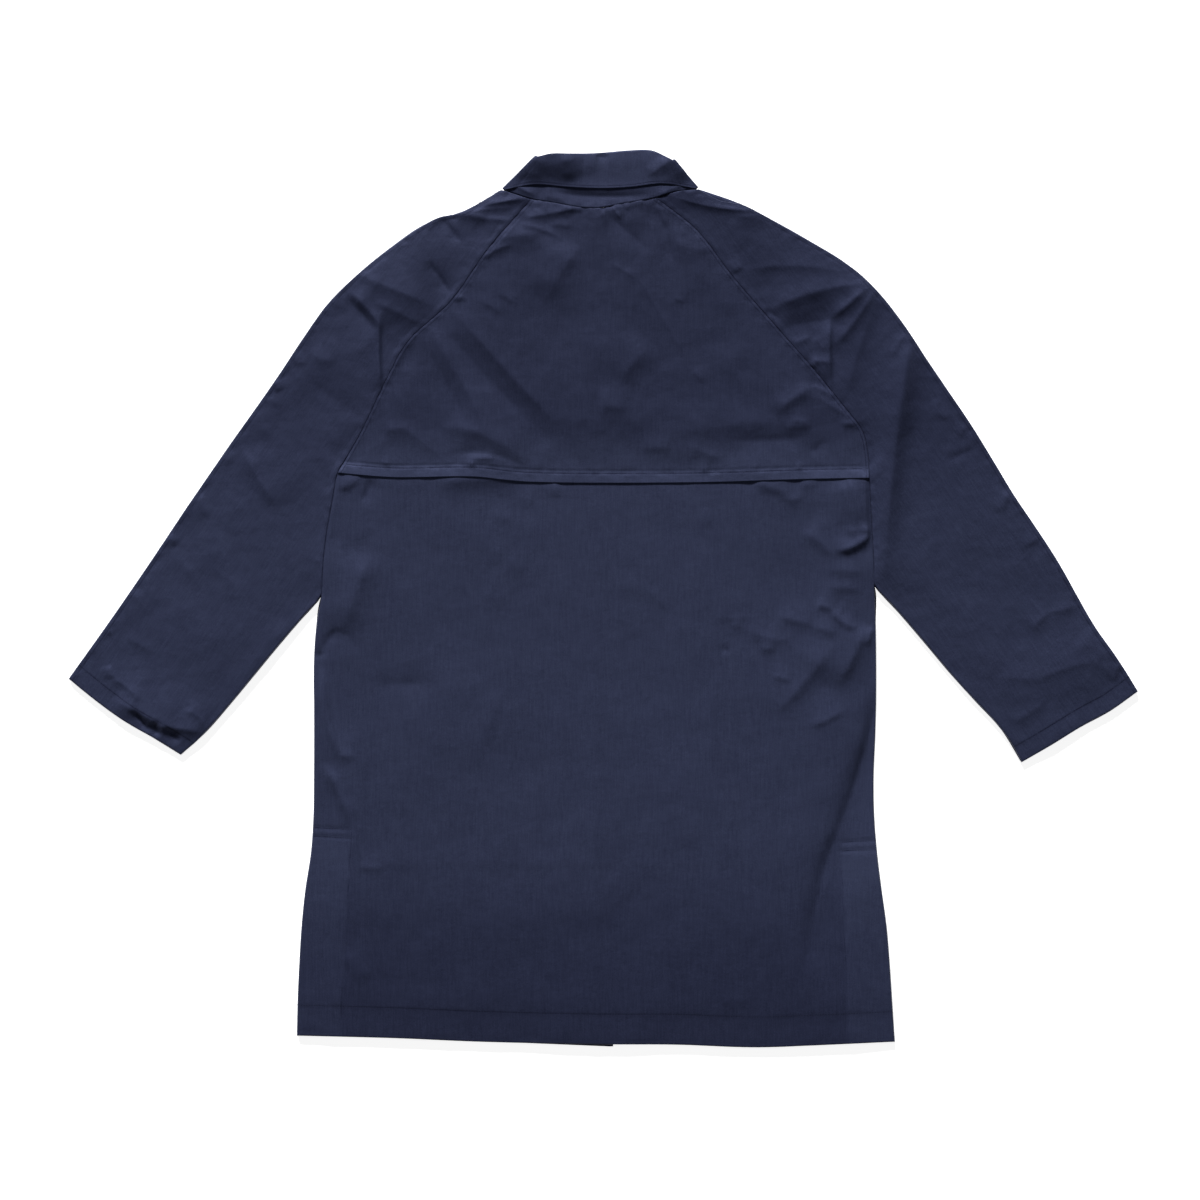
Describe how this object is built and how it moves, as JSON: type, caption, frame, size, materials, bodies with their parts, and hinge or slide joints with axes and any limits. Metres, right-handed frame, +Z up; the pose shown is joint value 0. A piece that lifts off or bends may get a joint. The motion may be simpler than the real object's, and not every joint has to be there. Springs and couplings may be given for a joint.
{
  "type": "trench coat",
  "caption": "Raglan-sleeved coat laid flat on its front, with a storm flap across the upper back, side vents and a turned-down collar.",
  "frame": {"origin": "under the middle of the coat, on the surface that it lies on", "axes": "+X across the coat from its left sleeve to its right sleeve, +Y from the hem to the collar, +Z up from the surface, out of the coat's back"},
  "size_m": [1.2296, 1.0318, 0.0109],
  "materials": {
    "gabardine": "dense navy cotton twill, matt with a slight dry sheen"
  },
  "bodies": {
    "root": {"back": "gabardine", "back_flap": "gabardine", "front_left": "gabardine", "front_right": "gabardine", "sleeve_back_left": "gabardine", "sleeve_back_right": "gabardine", "sleeve_front_left": "gabardine", "sleeve_front_right": "gabardine", "collar_stand": "gabardine", "collar_leaf": "gabardine"}
  },
  "joints": []
}
